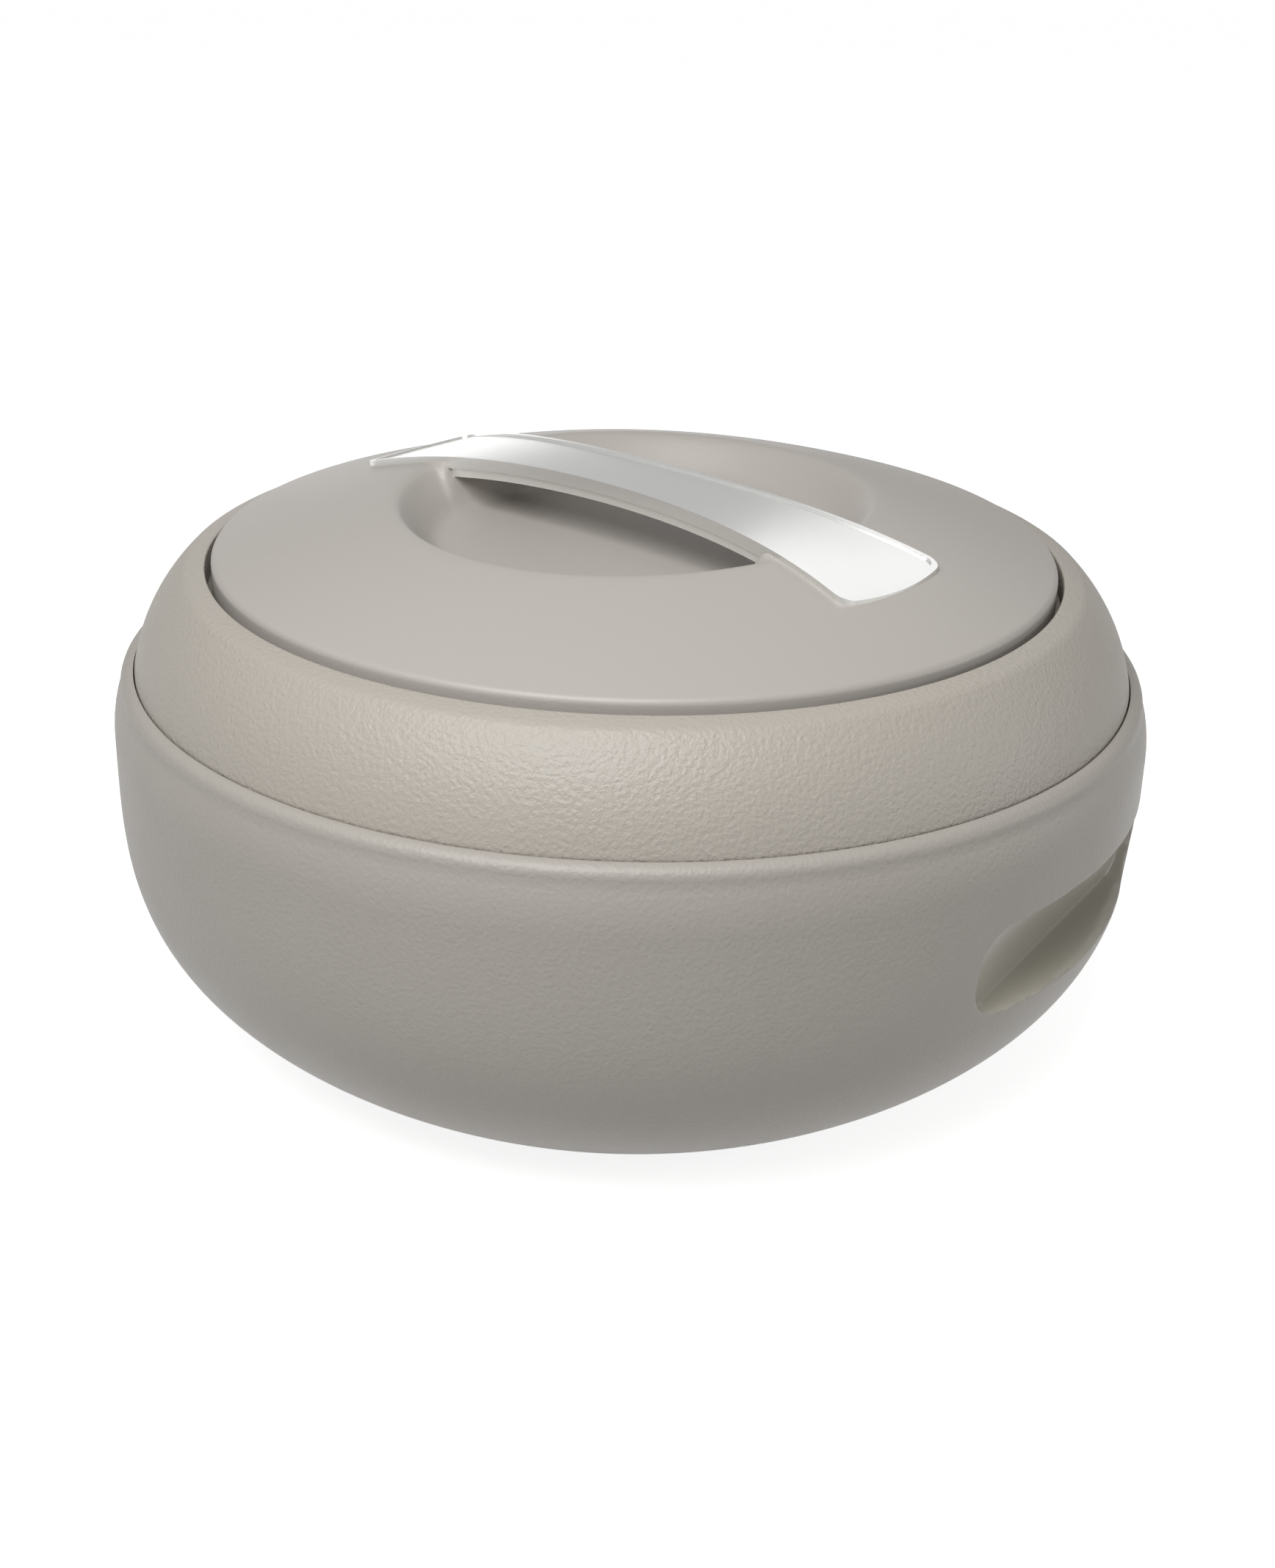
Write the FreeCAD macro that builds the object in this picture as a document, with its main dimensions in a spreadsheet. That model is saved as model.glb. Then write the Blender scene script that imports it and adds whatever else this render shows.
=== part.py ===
"""Insulated chapati casserole: a foam-filled body with a steel bowl, and a lift-off lid with a strap handle.

Millimetres, +Z up. The origin is the centre of the base, on the surface that the feet stand on.
The two hand grips lie on +X and -X. The lid is modelled with its strap along X and then
set down turned by lid_turn about Z.
"""
import FreeCAD, Part
import math
import os

import Sketcher

Vector = FreeCAD.Vector

doc = FreeCAD.newDocument("casserole")
sheet = doc.addObject("Spreadsheet::Sheet", "Sizes")

SIZES = {
    # feet and base
    "foot_count": 4,
    "foot_proud": 1.5,
    "foot_radius": 7.0,
    "foot_inset": 14.3,
    "foot_sunk": 1.0,
    "foot_edge": 0.6,
    "plug_radius": 10.0,
    "plug_flange": 3.0,
    "plug_sunk": 1.2,
    "plug_proud": 1.6,
    "plug_edge": 0.8,
    # outer shell: insets are counted from the belly, heights from the level below
    "shell_wall": 2.6,
    "base_inset": 48.7,
    "base_slope": 30.9,
    "base_pull": 58.5,
    "belly_radius": 145.0,
    "belly_rise": 90.3,
    "belly_pull": 40.0,
    "lip_inset": 2.4,
    "lip_height": 12.3,
    "seam_inset": 6.0,
    "seam_height": 4.3,
    "seam_land": 0.6,
    "seam_bulge": 1.15,
    "ledge_drop": 7.4,
    "ledge_width": 3.4,
    "ledge_depth": 2.6,
    # hand grips
    "grip_width": 110.0,
    "grip_height": 26.7,
    "grip_drop": 12.8,
    "grip_crown": 2.2,
    "grip_corner": 12.0,
    "grip_depth": 14.0,
    "grip_soft": 9.0,
    "grip_wall": 2.6,
    # shoulder ring, from the seam up and inwards
    "ring_wall": 2.4,
    "ring_play": 0.4,
    "ring_step": 0.4,
    "ring_corner": 0.6,
    "shoulder_width": 14.9,
    "shoulder_height": 26.3,
    "shoulder_bulge": 2.4,
    "land_width": 5.9,
    "land_crown": 1.5,
    "mouth_edge": 0.9,
    "seat_depth": 8.2,
    "seat_width": 10.5,
    "neck_depth": 7.5,
    # steel bowl and the foam round it
    "bowl_gauge": 0.8,
    "bowl_play": 0.7,
    "bowl_taper": 8.0,
    "bowl_floor_rise": 21.0,
    "bowl_corner": 22.0,
    "bowl_edge": 0.7,
    "flange_play": 1.6,
    "foam_play": 0.3,
    "foam_shoulder_play": 2.5,
    # lid
    "lid_turn": -9.0,
    "lid_gap": 2.7,
    "lid_wall": 2.4,
    "lid_edge_proud": 2.5,
    "lid_edge_round": 1.4,
    "dome_rise": 23.0,
    "dome_power": 1.7,
    "skirt_lift": 0.6,
    "dish_end_inset": 52.0,
    "dish_side_inset": 45.5,
    "dish_side": 10.5,
    "dish_depth": 13.3,
    "dish_floor_lift": 1.9,
    "dish_round": 9.0,
    "dish_rim": 2.5,
    "pad_half_width": 21.0,
    "pad_inset": 6.0,
    "pad_side": 6.5,
    "liner_gauge": 0.8,
    "liner_play": 4.4,
    "liner_depth": 7.2,
    "liner_corner": 5.0,
    "base_ring_play": 1.2,
    "base_ring_height": 1.6,
    "seal_inset": 1.8,
    "seal_width": 3.8,
    "seal_sunk": 0.9,
    "seal_lip": 0.3,
    # strap handle
    "strap_end_inset": 25.5,
    "strap_waist": 26.4,
    "strap_end_width": 43.0,
    "strap_drop": 2.8,
    "strap_end_proud": 1.2,
    "strap_square_share": 0.63,
    "strap_thickness": 3.4,
    "strap_end_thickness": 1.8,
    "strap_lip": 1.5,
    "strap_dish": 0.6,
    "strap_corner": 4.5,
    "strap_end_bow": 3.2,
    "strap_play": 0.3,
    "under_thickness": 2.6,
    "under_inset": 0.9,
    "boss_inset": 18.0,
    "boss_spread": 9.0,
    "boss_radius": 3.6,
    "boss_depth": 7.5,
    "boss_bite": 0.3,
    "boss_roof": 1.0,
    "boss_play": 0.3,
    "screw_radius": 1.5,
    "screw_play": 0.05,
    "screw_length": 5.8,
    "screw_head_radius": 3.3,
    "screw_head_height": 1.8,
}


def fill_sheet():
    """Write each driving dimension beside its name."""
    for row, (name, value) in enumerate(SIZES.items(), start=1):
        sheet.set(f"A{row}", name)
        sheet.set(f"B{row}", str(value))
        sheet.setAlias(f"B{row}", name)
    doc.recompute()


fill_sheet()


def size(name):
    """The value of a named dimension, in millimetres or degrees."""
    return float(sheet.get(name))


# Radii, each counted inwards from its neighbour

belly_radius = size("belly_radius")
base_radius = belly_radius - size("base_inset")
lip_radius = belly_radius - size("lip_inset")
seam_radius = belly_radius - size("seam_inset")
ledge_radius = seam_radius - size("ledge_width")
ring_radius = seam_radius - size("ring_play")
grip_back = belly_radius - size("grip_depth")
land_radius = seam_radius - size("shoulder_width")
mouth_radius = land_radius - size("land_width")
neck_radius = mouth_radius - size("seat_width")
flange_radius = mouth_radius - size("flange_play")
bowl_radius = neck_radius - size("bowl_play")
bowl_foot_radius = bowl_radius - size("bowl_taper")
lid_radius = mouth_radius - size("lid_gap")
skirt_radius = lid_radius - size("lid_wall") - size("foam_play")
liner_radius = bowl_radius - size("liner_play")
base_ring_radius = liner_radius + size("base_ring_play")
seal_inner_radius = base_ring_radius + size("seal_inset")
seal_outer_radius = seal_inner_radius + size("seal_width")

# Reaches from the middle of the lid, along the strap and for the dish also across it

dish_reach = lid_radius - size("dish_end_inset")
dish_reach_across = lid_radius - size("dish_side_inset")
pad_reach = dish_reach - size("pad_inset")
strap_reach = lid_radius - size("strap_end_inset")
boss_reach = strap_reach - size("boss_inset")

# Levels above the floor, each counted from its neighbour

base_level = size("foot_proud")
belly_level = base_level + size("belly_rise")
lip_level = belly_level + size("lip_height")
seam_level = lip_level + size("seam_height")
ledge_level = seam_level - size("ledge_drop")
grip_top_level = belly_level - size("grip_drop")
grip_bottom_level = grip_top_level - size("grip_height")
land_level = seam_level + size("shoulder_height")
mouth_level = land_level + size("land_crown")
seat_level = mouth_level - size("seat_depth")
neck_level = seat_level - size("neck_depth")
bowl_floor_level = base_level + size("bowl_floor_rise")
skirt_level = seat_level + size("bowl_gauge") + size("skirt_lift")
liner_flange_level = skirt_level + size("base_ring_height")
lid_edge_level = mouth_level + size("lid_edge_proud")
crown_level = lid_edge_level + size("dome_rise")
dish_floor_level = lid_edge_level + size("dish_floor_lift")
strap_crown_level = crown_level - size("strap_drop")

# How far a cutting tool reaches past what it cuts, and how close a point has to be to count as on a face

PAST = 10.0
NEAR = 0.01

# Stretches that a curve is taken through

CURVE_STEPS = 8


# Sketch and solid helpers

def plane_of(body, role):
    """The origin plane of a body that has this role."""
    return next(item for item in body.Origin.OriginFeatures if item.Role == role)


def new_sketch(body, name, role, offset=None):
    """A sketch on one of the body's own origin planes, shifted along the plane's normal by an expression."""
    sketch = body.newObject("Sketcher::SketchObject", name)
    sketch.AttachmentSupport = (plane_of(body, role), [""])
    sketch.MapMode = "FlatFace"
    if offset:
        sketch.setExpression("AttachmentOffset.Base.z", offset)
    return sketch


def draw(sketch, pieces):
    """Add a closed outline, given as curves that follow each other, and join their nearest ends."""
    first = len(sketch.Geometry)
    for piece in pieces:
        sketch.addGeometry(piece, False)
    count = len(pieces)
    for index in range(count):
        here = first + index
        after = first + (index + 1) % count

        def apart(ends):
            return (sketch.getPoint(here, ends[0]) - sketch.getPoint(after, ends[1])).Length

        own_end, next_end = min([(a, b) for a in (1, 2) for b in (1, 2)], key=apart)
        sketch.addConstraint(Sketcher.Constraint("Coincident", here, own_end, after, next_end))


def line(start, end):
    """A straight edge between two points of a sketch."""
    return Part.LineSegment(Vector(*start, 0), Vector(*end, 0))


def arc(start, middle, end):
    """A round edge through three points of a sketch."""
    return Part.Arc(Vector(*start, 0), Vector(*middle, 0), Vector(*end, 0))


def bulged(start, end, bulge):
    """A round edge whose middle stands off the straight line by bulge, to the right on the way to the end."""
    chord = Vector(end[0] - start[0], end[1] - start[1], 0)
    out = Vector(chord.y, -chord.x, 0).normalize()
    middle = ((start[0] + end[0]) / 2 + out.x * bulge, (start[1] + end[1]) / 2 + out.y * bulge)
    return arc(start, middle, end)


def leaning_in(start, end):
    """A round edge that sets off straight up and leans over to its end."""
    run = start[0] - end[0]
    rise = end[1] - start[1]
    radius = (run ** 2 + rise ** 2) / (2 * run)
    half_turn = math.asin(rise / radius) / 2
    middle = (start[0] - radius * (1 - math.cos(half_turn)), start[1] + radius * math.sin(half_turn))
    return arc(start, middle, end)


def rounded_foot(foot, floor, corner, tilt):
    """The round between a level floor and a wall that leans out by tilt, as (start, round edge, end).

    The floor and the wall would meet at the radius foot without it.
    """
    swing = (math.pi / 2 - tilt) / 2
    tangent = corner * math.tan(swing)
    start = (foot - tangent, floor)
    end = (foot + tangent * math.sin(tilt), floor + tangent * math.cos(tilt))
    middle = (start[0] + corner * math.sin(swing), floor + corner * (1 - math.cos(swing)))
    return start, arc(start, middle, end), end


def through(points):
    """A smooth curve through the points of a sketch."""
    curve = Part.BSplineCurve()
    curve.interpolate([Vector(*point, 0) for point in points])
    return curve


def polyline(points):
    """Straight edges from point to point, left open."""
    return [line(start, end) for start, end in zip(points, points[1:])]


def both_ways_steps(half):
    """Even steps from one end of a strip to the other."""
    return [half * (n / CURVE_STEPS - 1) for n in range(2 * CURVE_STEPS + 1)]


def revolved(name, pieces):
    """A body turned about Z from an outline in the XZ plane."""
    body = doc.addObject("PartDesign::Body", name)
    sketch = new_sketch(body, name + "_outline", "XZ_Plane")
    draw(sketch, pieces)
    turn = body.newObject("PartDesign::Revolution", name + "_turn")
    turn.Profile = sketch
    turn.ReferenceAxis = (sketch, ["V_Axis"])
    turn.Angle = 360
    sketch.Visibility = False
    doc.recompute()
    return body


def padded(name, role, pieces, length, offset=None, both_ways=False):
    """A body pushed out from an outline on one of its origin planes."""
    body = doc.addObject("PartDesign::Body", name)
    sketch = new_sketch(body, name + "_outline", role, offset)
    draw(sketch, pieces)
    pad = body.newObject("PartDesign::Pad", name + "_pad")
    pad.Profile = sketch
    pad.setExpression("Length", length)
    pad.Midplane = both_ways
    doc.recompute()
    return body


def cut(name, base, tool):
    """What is left of base where tool is taken away."""
    result = doc.addObject("Part::Cut", name)
    result.Base = base
    result.Tool = tool
    doc.recompute()
    return result


def common(name, base, tool):
    """What base and tool share."""
    result = doc.addObject("Part::Common", name)
    result.Base = base
    result.Tool = tool
    doc.recompute()
    return result


def joined(name, parts):
    """Several solids joined into one."""
    result = doc.addObject("Part::MultiFuse", name)
    result.Shapes = parts
    doc.recompute()
    return result


def round_edges(name, source, radius, wanted):
    """Round the edges of a solid that the test picks out."""
    result = doc.addObject("Part::Fillet", name)
    result.Base = source
    picked = [n for n, edge in enumerate(source.Shape.Edges, start=1) if wanted(edge)]
    result.Edges = [(n, radius, radius) for n in picked]
    doc.recompute()
    return result


def circle_at(level):
    """A test for the round edges that lie level at this height."""
    def wanted(edge):
        return len(edge.Vertexes) == 1 and abs(edge.Vertexes[0].Point.z - level) < NEAR
    return wanted


def cylinder(name, radius, height, x="0", y="0", z="0"):
    """An upright cylinder whose sizes and place are expressions."""
    solid = doc.addObject("Part::Cylinder", name)
    solid.setExpression("Radius", radius)
    solid.setExpression("Height", height)
    solid.setExpression("Placement.Base.x", x)
    solid.setExpression("Placement.Base.y", y)
    solid.setExpression("Placement.Base.z", z)
    doc.recompute()
    return solid


# Outer shell with its hand grips

def flank(part, inset):
    """A point on the lower wall, from the base corner (0) to the belly (1), moved inwards by inset.

    The wall is a cubic curve that leaves the base corner at base_slope and stands upright at the belly.
    """
    slope = math.radians(size("base_slope"))
    pull = size("base_pull")
    poles = (
        (base_radius, base_level),
        (base_radius + pull * math.cos(slope), base_level + pull * math.sin(slope)),
        (belly_radius, belly_level - size("belly_pull")),
        (belly_radius, belly_level),
    )
    rest = 1 - part
    weights = (rest ** 3, 3 * rest ** 2 * part, 3 * rest * part ** 2, part ** 3)
    point = [sum(w * pole[axis] for w, pole in zip(weights, poles)) for axis in (0, 1)]
    slopes = (3 * rest ** 2, 6 * rest * part, 3 * part ** 2)
    along = [
        sum(w * (after[axis] - before[axis]) for w, before, after in zip(slopes, poles, poles[1:]))
        for axis in (0, 1)
    ]
    run = math.hypot(*along)
    return (point[0] - inset * along[1] / run, point[1] + inset * along[0] / run)


def flank_points(inset, floor):
    """Points of the lower wall from the height of floor up to the belly, moved inwards by inset."""
    fine_step = 0.002
    start = 0.0
    while flank(start, inset)[1] < floor:
        start += fine_step
    points = [flank(start + (1 - start) * n / CURVE_STEPS, inset) for n in range(CURVE_STEPS + 1)]
    points[0] = (points[0][0], floor)
    return points


def shell_blank(name, inset, floor):
    """The solid inside the lower wall: whole up to the seam, or moved inwards by inset up to the lip."""
    side = flank_points(inset, floor)
    lip = (lip_radius - inset, lip_level)
    outline = [line((0, floor), side[0]), through(side), leaning_in(side[-1], lip)]
    if inset:
        outline += polyline([lip, (0, lip_level), (0, floor)])
    else:
        rim = (seam_radius + size("seam_land"), seam_level)
        outline.append(bulged(lip, rim, size("seam_bulge")))
        outline += polyline([rim, (0, seam_level), (0, floor)])
    return revolved(name, outline)


def grip_outline(grow):
    """The grip's opening seen from the side: a rounded oblong with a slightly crowned top."""
    half = size("grip_width") / 2 + grow
    low = grip_bottom_level - grow
    high = grip_top_level + grow
    corner = size("grip_corner") + grow
    bend = corner * (1 - math.sqrt(0.5))
    return [
        line((-half + corner, low), (half - corner, low)),
        arc((half - corner, low), (half - bend, low + bend), (half, low + corner)),
        line((half, low + corner), (half, high - corner)),
        arc((half, high - corner), (half - bend, high - bend), (half - corner, high)),
        arc((half - corner, high), (0, high + size("grip_crown")), (-half + corner, high)),
        arc((-half + corner, high), (-half + bend, high - bend), (-half, high - corner)),
        line((-half, high - corner), (-half, low + corner)),
        arc((-half, low + corner), (-half + bend, low + bend), (-half + corner, low)),
    ]


def grip_block(name, grow, turn):
    """The space of one hand grip, or with grow the housing round it, from its back wall outwards."""
    block = padded(
        name, "YZ_Plane", grip_outline(grow), f"Sizes.grip_depth + {PAST}",
        offset=f"Sizes.belly_radius - Sizes.grip_depth - {grow}",
    )
    back = grip_back - grow
    rounded = round_edges(
        name + "_soft", block, size("grip_soft") + grow,
        lambda edge: all(abs(vertex.Point.x - back) < NEAR for vertex in edge.Vertexes),
    )
    rounded.Placement = FreeCAD.Placement(Vector(), FreeCAD.Rotation(Vector(0, 0, 1), turn))
    doc.recompute()
    return rounded


def grip_pair(name, grow):
    """Both hand grips as one tool, at opposite ends of X."""
    sides = (("right", 0), ("left", 180))
    return joined(name, [grip_block(f"{name}_{word}", grow, turn) for word, turn in sides])


def make_outer_shell():
    """Moulded outer shell: the lower wall, its floor, the ledge for the ring and two grip housings."""
    wall = size("shell_wall")
    blank = shell_blank("shell_blank", 0.0, base_level)
    hollow = shell_blank("shell_hollow", wall, base_level + wall)
    under = ledge_level - size("ledge_depth")
    reach = belly_radius + PAST
    ledge_ring = revolved("shell_ledge", polyline([
        (ledge_radius, under), (ledge_radius + wall, under - wall), (reach, under - wall),
        (reach, ledge_level), (ledge_radius, ledge_level), (ledge_radius, under),
    ]))
    ledge = common("shell_ledge_part", blank, ledge_ring)
    side = cut("shell_open", blank, hollow)
    housings = common("shell_housings", blank, grip_pair("grip_housing", size("grip_wall")))
    whole = joined("shell_whole", [side, ledge, housings])
    mouth = cylinder(
        "shell_mouth", "Sizes.belly_radius - Sizes.seam_inset", f"Sizes.ledge_drop + {PAST}",
        z=f"{ledge_level}",
    )
    gripped = cut("shell_gripped", cut("shell_opened", whole, mouth), grip_pair("grip_space", 0.0))
    port = cylinder("shell_port", "Sizes.plug_radius", f"Sizes.shell_wall + {PAST}", z="0")
    recess = cylinder(
        "plug_sink", "Sizes.plug_radius + Sizes.plug_flange + Sizes.ring_play", "Sizes.plug_sunk",
        z="Sizes.foot_proud",
    )
    sinks = [foot_disc(f"foot_sink_{word}", angle) for word, angle in foot_places()]
    return cut("outer_shell", gripped, joined("base_sinks", [port, recess, *sinks]))


# Feet and base plug

FOOT_NAMES = ("front_right", "rear_right", "rear_left", "front_left")


def foot_places():
    """Name and angle of each foot, evenly round the base."""
    step = 360 / size("foot_count")
    count = int(size("foot_count"))
    names = FOOT_NAMES if count == len(FOOT_NAMES) else [str(n + 1) for n in range(count)]
    return [(name, step * (n - 0.5)) for n, name in enumerate(names)]


def foot_disc(name, angle):
    """One disc on the foot circle, from the floor up into its socket."""
    circle = "(Sizes.belly_radius - Sizes.base_inset - Sizes.foot_inset)"
    return cylinder(
        name, "Sizes.foot_radius", "Sizes.foot_proud + Sizes.foot_sunk",
        x=f"{circle} * cos({angle} deg)", y=f"{circle} * sin({angle} deg)",
    )


def make_feet():
    """Soft feet, each a disc seated in a shallow socket of the shell with its lower edge rounded."""
    return [
        round_edges(f"foot_{word}", foot_disc(f"foot_disc_{word}", angle), size("foot_edge"), circle_at(0.0))
        for word, angle in foot_places()
    ]


def make_base_plug():
    """Push-in plug that closes the foam port in the middle of the base."""
    stem = size("plug_radius") - size("ring_play")
    rim = size("plug_radius") + size("plug_flange")
    step = base_level + size("plug_sunk")
    top = base_level + size("shell_wall") + size("plug_proud")
    edge = size("plug_edge")
    return revolved("base_plug", polyline([
        (0, base_level), (rim, base_level), (rim, step), (stem, step),
        (stem, top - edge), (stem - edge, top), (0, top), (0, base_level),
    ]))


# Shoulder ring, bowl and body foam

def make_shoulder_ring():
    """Ring from the seam up over the shoulder to the land, down to the lid seat and in to the neck."""
    wall = size("ring_wall")
    edge = size("mouth_edge")
    foot = seam_level + size("ring_step")
    inside = (land_radius - size("ring_corner"), land_level - wall)
    return revolved("shoulder_ring", [
        line((ring_radius, ledge_level), (ring_radius, foot)),
        bulged((ring_radius, foot), (land_radius, land_level), size("shoulder_bulge")),
        *polyline([
            (land_radius, land_level), (mouth_radius + edge, mouth_level), (mouth_radius, mouth_level - edge),
            (mouth_radius, seat_level), (neck_radius, seat_level), (neck_radius, neck_level),
            (neck_radius + wall, neck_level), (neck_radius + wall, seat_level - wall),
            (mouth_radius + wall, seat_level - wall), (mouth_radius + wall, land_level - wall), inside,
        ]),
        bulged((ring_radius - wall, foot - wall), inside, size("shoulder_bulge")),
        *polyline([
            (ring_radius - wall, foot - wall), (ring_radius - wall, ledge_level), (ring_radius, ledge_level),
        ]),
    ])


def bowl_side(grow, top):
    """The bowl's outer side from the axis up to top, pushed out by grow."""
    floor = bowl_floor_level - grow
    tilt = math.atan2(size("bowl_taper"), seat_level - bowl_floor_level)
    foot = bowl_foot_radius + grow
    start, corner, end = rounded_foot(foot, floor, size("bowl_corner") + grow, tilt)
    mouth = (foot + (top - floor) * math.tan(tilt), top)
    return [line((0, floor), start), corner, line(end, mouth)], mouth


def make_inner_bowl():
    """Pressed steel bowl with a flat flange that lies on the ring's seat."""
    gauge = size("bowl_gauge")
    top = seat_level + gauge
    side, mouth = bowl_side(0.0, seat_level)
    blank = revolved("bowl_blank", side + polyline([
        mouth, (flange_radius, seat_level), (flange_radius, top), (0, top), (0, bowl_floor_level),
    ]))
    inside, inner_mouth = bowl_side(-gauge, top + PAST)
    hollow = revolved("bowl_hollow", inside + polyline([
        inner_mouth, (0, top + PAST), (0, bowl_floor_level + gauge),
    ]))
    lies_on_top = circle_at(top)
    return round_edges(
        "inner_bowl", cut("bowl_cup", blank, hollow), size("bowl_edge"),
        lambda edge: lies_on_top(edge) and edge.Curve.Radius < neck_radius,
    )


def make_body_foam():
    """Foam between shell, ring and bowl, a hair clear of each."""
    play = size("foam_play")
    inset = size("shell_wall") + play
    floor = base_level + inset
    side = flank_points(inset, floor)
    under = ledge_level - size("ledge_depth") - size("shell_wall") - play
    shoulder_play = size("foam_shoulder_play")
    top = neck_level - play
    blank = revolved("foam_blank", [
        line((0, floor), side[0]), through(side),
        *polyline([
            side[-1], (lip_radius - inset, under), (ledge_radius - play, under),
            (ledge_radius - play, ledge_level + play),
            (ring_radius - size("ring_wall") - shoulder_play, seam_level - size("ring_wall")),
            (land_radius + shoulder_play, top), (0, top), (0, floor),
        ]),
    ])
    room, mouth = bowl_side(play, seat_level)
    bowl_room = revolved("foam_bowl_room", room + polyline([
        mouth, (0, seat_level), (0, bowl_floor_level - play),
    ]))
    plug_room = cylinder(
        "foam_plug_room", "Sizes.plug_radius + Sizes.foam_play",
        "Sizes.foot_proud + Sizes.shell_wall + Sizes.plug_proud + Sizes.foam_play",
    )
    grip_rooms = grip_pair("foam_grip_room", size("grip_wall") + play)
    return cut("body_foam", blank, joined("foam_rooms", [bowl_room, plug_room, grip_rooms]))


# Lid

def dome(radius):
    """Height of the lid's top at a radius: the edge height and a rise that falls off as a power."""
    share = radius / (lid_radius - size("lid_edge_round"))
    return lid_edge_level + size("dome_rise") * (1 - share ** size("dome_power"))


def lid_blank(name, inset, bottom):
    """The lid's whole outside as a solid, with its side and its top moved inwards by inset."""
    radius = lid_radius - inset
    corner = size("lid_edge_round")
    flat = radius - corner
    crest = [(flat * n / CURVE_STEPS, dome(flat * n / CURVE_STEPS) - inset) for n in range(CURVE_STEPS + 1)]
    edge_top = crest[-1][1]
    bend = corner * (1 - math.sqrt(0.5))
    return revolved(name, [
        *polyline([(0, bottom), (radius, bottom), (radius, edge_top - corner)]),
        arc((radius, edge_top - corner), (radius - bend, edge_top - bend), (flat, edge_top)),
        through(crest[::-1]), line(crest[0], (0, bottom)),
    ])


def dish_tool(name, grow):
    """The finger dish: a round bowl with leaning walls and a rounded foot, drawn out across the strap.

    With grow it is the same form larger all round, which gives the dish its wall or its play.
    """
    floor = dish_floor_level - grow
    top = crown_level + PAST
    lean = size("dish_side") / size("dish_depth")
    foot = dish_reach - size("dish_side") + grow
    start, corner, end = rounded_foot(foot, floor, size("dish_round") + grow, math.atan(lean))
    bowl = revolved(name + "_round", [
        line((0, floor), start), corner,
        *polyline([end, (foot + lean * (top - floor), top), (0, top), (0, floor)]),
    ])
    stretch = FreeCAD.Matrix()
    stretch.scale(1.0, (dish_reach_across + grow) / (dish_reach + grow), 1.0)
    oval = doc.addObject("Part::Feature", name)
    oval.Shape = bowl.Shape.transformGeometry(stretch)
    return oval


def pad_pair(name, reach):
    """The two lands under the strap's ends, each with a wall that leans in towards the dish floor.

    With reach they come nearer to the middle, which gives what stands against them its play.
    """
    low = dish_floor_level - size("lid_wall")
    high = crown_level + PAST
    foot = pad_reach - size("pad_side") - reach
    top = foot + (high - low) * size("pad_side") / size("dish_depth")
    outer = dish_reach + 2 * PAST
    pads = []
    for word, side in (("right", 1), ("left", -1)):
        corners = [(foot, low), (outer, low), (outer, high), (top, high), (foot, low)]
        outline = polyline([(side * x, z) for x, z in corners])
        pads.append(padded(f"{name}_{word}", "XZ_Plane", outline, "2 * Sizes.pad_half_width", both_ways=True))
    return joined(name, pads)


def boss_group(name, radius, low, high):
    """Four upright rods, one at each strap boss, between two heights."""
    rods = []
    for x_word, x_sign in (("right", ""), ("left", "-")):
        for y_word, y_sign in (("near", "-"), ("far", "")):
            rods.append(cylinder(
                f"{name}_{x_word}_{y_word}", radius, f"{high - low}",
                x=f"{x_sign}{boss_reach}", y=f"{y_sign}Sizes.boss_spread", z=f"{low}",
            ))
    return joined(name, rods)


boss_level = dome(math.hypot(boss_reach, size("boss_spread")))
boss_foot_level = boss_level - size("boss_depth")


def on_dish_rim(edge):
    """True for the long edges where the dish opens through the dome, on either side of the strap."""
    dome_slack = 0.3
    points = edge.discretize(5)
    return all(
        abs(point.z - dome(math.hypot(point.x, point.y))) < dome_slack
        and abs(point.y) > size("pad_half_width") - NEAR
        and math.hypot(point.x, point.y) < strap_reach
        for point in points
    )


def make_lid():
    """The lid cover, and the space that the strap keeps out of: the cover grown by the strap's play."""
    wall = size("lid_wall")
    play = size("strap_play")
    blank = lid_blank("lid_blank", 0.0, skirt_level)
    shell = cut("lid_shell", blank, lid_blank("lid_hollow", wall, skirt_level - PAST))
    tub = common("dish_tub", blank, dish_tool("dish_outside", wall))
    dish = cut("dish_space", dish_tool("dish", 0.0), pad_pair("pads", 0.0))
    dished = cut("lid_dished", joined("lid_solid", [shell, tub]), dish)
    rimmed = round_edges("lid_rimmed", dished, size("dish_rim"), on_dish_rim)
    holes = boss_group(
        "boss_holes", "Sizes.boss_radius + Sizes.boss_play", boss_level - PAST, boss_level + PAST,
    )
    cover = cut("lid_cover", rimmed, joined("cover_sinks", [holes, strap_seat("seat_space", play)]))
    lifted = lid_blank("lid_lifted", -play, skirt_level)
    inside = cut("dish_inside", dish_tool("dish_inner", -play), pad_pair("pads_play", play))
    outside = cut("lid_lifted_dished", lifted, inside)
    keep_out = cut("strap_keep_out", outside, strap_seat("strap_end_space", 0.0))
    return cover, keep_out


def strap_seat(name, play):
    """The space from the strap's underside at its ends upwards, with play all round, sunk into the cover."""
    band = strap_band(name + "_band", -PAST, PAST + size("strap_end_thickness") + play)
    return common(name, band, strap_plan(name + "_plan", -play))


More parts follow.
